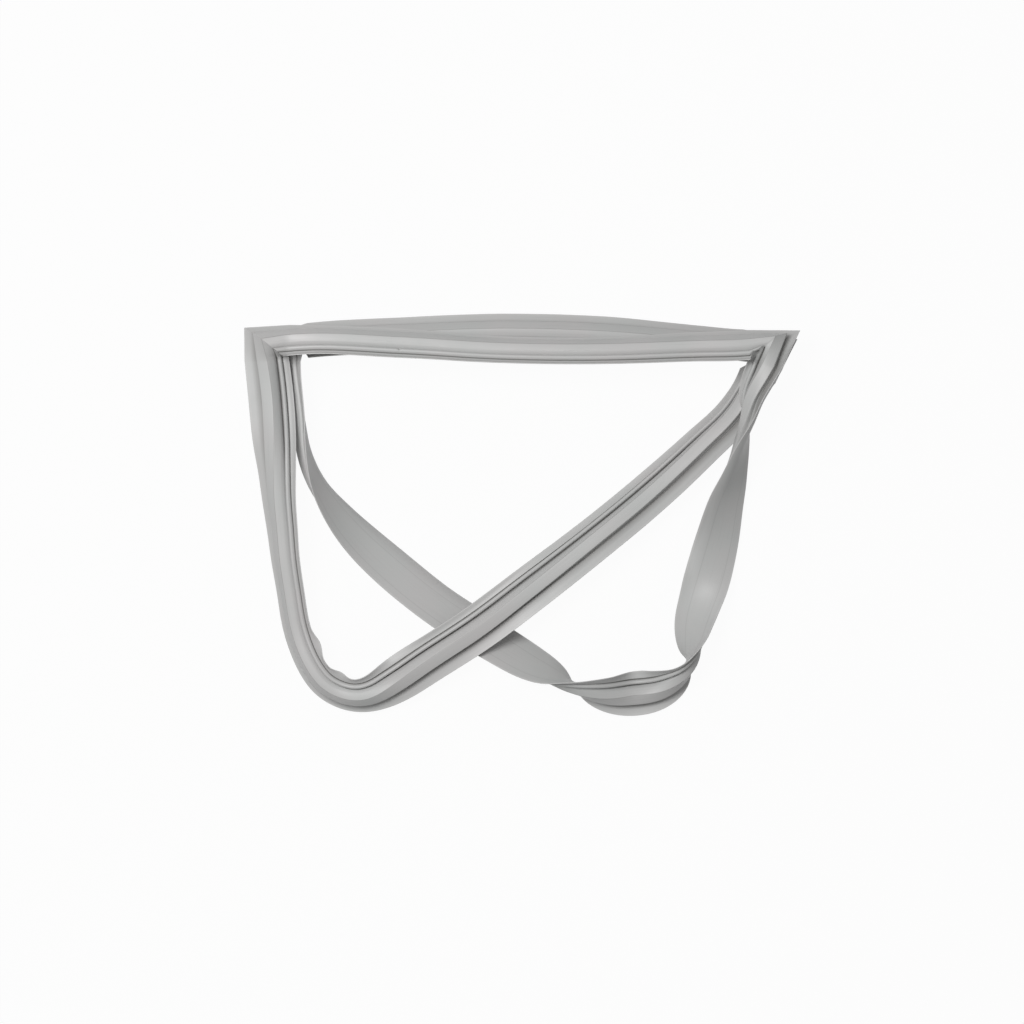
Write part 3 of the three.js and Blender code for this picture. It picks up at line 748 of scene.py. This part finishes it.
# The floor is plain white to camera, reflections and clear stuff, with part of the real shadow
def makeFloor():
    half, level = studio["floorSize"] / 2, -studio["floorGap"]
    mesh = bpy.data.meshes.new("floor")
    corners = [(-half, -half, level), (half, -half, level), (half, half, level), (-half, half, level)]
    mesh.from_pydata(corners, [], [(0, 1, 2, 3)])
    floor = bpy.data.objects.new("floor", mesh)
    bpy.context.scene.collection.objects.link(floor)
    material, tree, shader = newMaterial("paleFloor")
    shader.inputs["Base Color"].default_value = studio["floorColour"]
    shader.inputs["Roughness"].default_value = studio["floorRoughness"]
    shader.inputs["Specular IOR Level"].default_value = 0.0
    white = addNode(tree, "ShaderNodeEmission", {"Strength": 1.0})
    rays = addNode(tree, "ShaderNodeLightPath").outputs
    seen = rays["Is Camera Ray"]
    for kind in ("Is Glossy Ray", "Is Transmission Ray"):
        seen = addNode(tree, "ShaderNodeMath", {0: seen, 1: rays[kind]}, operation="MAXIMUM").outputs[0]
    mixed = addNode(tree, "ShaderNodeMixShader", {
        0: scaled(tree, seen, studio["floorWhite"]), 1: shader.outputs[0], 2: white.outputs[0]})
    tree.links.new(mixed.outputs[0], tree.get_output_node("ALL").inputs["Surface"])
    mesh.materials.append(material)


def makeWorld():
    world = bpy.data.worlds.new("studioWorld")
    world.use_nodes = True
    tree = world.node_tree
    tree.nodes.clear()
    rays = addNode(tree, "ShaderNodeLightPath").outputs
    light = addNode(tree, "ShaderNodeBackground", {
        "Color": (1, 1, 1, 1), "Strength": studio["worldStrength"]})
    white = addNode(tree, "ShaderNodeBackground", {"Color": (1, 1, 1, 1), "Strength": 1.0})
    mixed = addNode(tree, "ShaderNodeMixShader", {
        0: rays["Is Camera Ray"], 1: light.outputs[0], 2: white.outputs[0]})
    addNode(tree, "ShaderNodeOutputWorld", {"Surface": mixed.outputs[0]})
    bpy.context.scene.world = world


def makeKeyLight():
    lamp = bpy.data.lights.new("keyLight", "AREA")
    lamp.shape = "SQUARE"
    lamp.size = studio["keySize"]
    lamp.energy = studio["keyPower"]
    light = bpy.data.objects.new("keyLight", lamp)
    light.location = studio["keyPlace"]
    light.rotation_euler = (-light.location).to_track_quat("-Z", "Y").to_euler()
    bpy.context.scene.collection.objects.link(light)


# The camera looks straight down, from above one place of the folded frame
def makeCamera():
    lens = bpy.data.cameras.new("camera")
    lens.sensor_width = studio["sensor"]
    lens.lens = studio["lens"]
    camera = bpy.data.objects.new("camera", lens)
    camera.location = (studio["overAcross"] * (strip["shortSide"] - sectionWidth) + setDown[0],
                       -studio["overDown"] * foldDepth + setDown[1], studio["cameraHeight"])
    bpy.context.scene.collection.objects.link(camera)
    bpy.context.scene.camera = camera


makeFloor()
makeWorld()
makeKeyLight()
makeCamera()
bpy.context.scene.view_settings.view_transform = "Standard"
print("studio: floor, world, one soft light and the camera")
